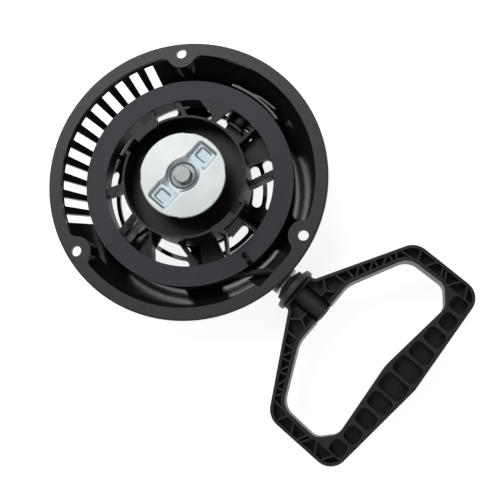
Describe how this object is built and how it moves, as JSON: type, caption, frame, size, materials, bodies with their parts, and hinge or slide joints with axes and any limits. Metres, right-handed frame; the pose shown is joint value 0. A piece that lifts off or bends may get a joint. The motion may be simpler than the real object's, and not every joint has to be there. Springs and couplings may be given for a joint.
{
  "type": "recoil starter",
  "caption": "Pull starter for a small engine: flanged slotted bowl, spring-return rope reel with pawls and guide plate, and a mitten-grip D handle.",
  "frame": {"origin": "centre of the bolt circle on the flange's mounting face", "axes": "+Z out of the mounting face towards the engine, +X the direction in which the rope is pulled"},
  "size_m": [0.2972, 0.19, 0.0567],
  "materials": {
    "black_plastic": "semi-gloss moulded",
    "reel_plastic": "satin glass-filled nylon",
    "handle_plastic": "satin moulded",
    "rubber": "matte",
    "rope": "braided nylon",
    "zinc_plate": "zinc plated, blue passivated",
    "bright_steel": "bright",
    "spring_steel": "blued strip",
    "brass": "plain"
  },
  "bodies": {
    "root": {"housing": "black_plastic", "rope_eyelet": "bright_steel", "spindle_insert": "brass", "thrust_washer": "bright_steel", "centre_screw": "zinc_plate", "screw_washer": "zinc_plate", "brake_spring": "spring_steel", "spring_cover": "zinc_plate", "recoil_spring": "spring_steel", "starter_rope": "rope"},
    "reel": {"reel": "reel_plastic", "reel_bushing": "brass", "reel_knot": "rope", "pawl_pivots": "bright_steel", "pawl_springs": "spring_steel"},
    "guide_plate": {"guide_plate": "zinc_plate"},
    "pawl_a": {"pawl_a": "bright_steel"},
    "pawl_b": {"pawl_b": "bright_steel"},
    "rope_pull": {"rope_end": "rope", "knot_washer": "bright_steel", "handle_knot": "rope"},
    "handle": {"handle_frame": "handle_plastic", "handle_collar": "rubber", "handle_bumper": "rubber"}
  },
  "joints": [
    {"name": "reel_spin", "type": "hinge", "parent": "root", "child": "reel", "pos_m": [0, 0, 0], "axis": [0, 0, 1], "range_deg": [0, 1260], "stiffness_Nm_per_rad": 0.027, "springref_deg": -630.25},
    {"name": "handle_pull", "type": "slide", "parent": "root", "child": "rope_pull", "axis": [1, 0, 0], "range_m": [0, 1.4211]},
    {"name": "handle_swivel", "type": "hinge", "parent": "rope_pull", "child": "handle", "pos_m": [0.1, -0.009, -0.0163], "axis": [1, 0, 0], "range_deg": [-180, 180]},
    {"name": "plate_turn", "type": "hinge", "parent": "reel", "child": "guide_plate", "pos_m": [0, 0, 0], "axis": [0, 0, -1], "range_deg": [0, 20], "stiffness_Nm_per_rad": 0.02, "springref_deg": -11.46},
    {"name": "pawl_a_swing", "type": "hinge", "parent": "reel", "child": "pawl_a", "pos_m": [0.0165, -0.0012, 0], "axis": [0, 0, -1], "range_deg": [0, 22.01]},
    {"name": "pawl_b_swing", "type": "hinge", "parent": "reel", "child": "pawl_b", "pos_m": [-0.0165, 0.0012, 0], "axis": [0, 0, -1], "range_deg": [0, 22.01]}
  ],
  "couplings": [
    {"joint": "handle_pull", "follows": "reel_spin", "m_per_rad": 0.0646},
    {"joint": "pawl_a_swing", "follows": "plate_turn", "ratio": 1.1},
    {"joint": "pawl_b_swing", "follows": "plate_turn", "ratio": 1.1}
  ]
}
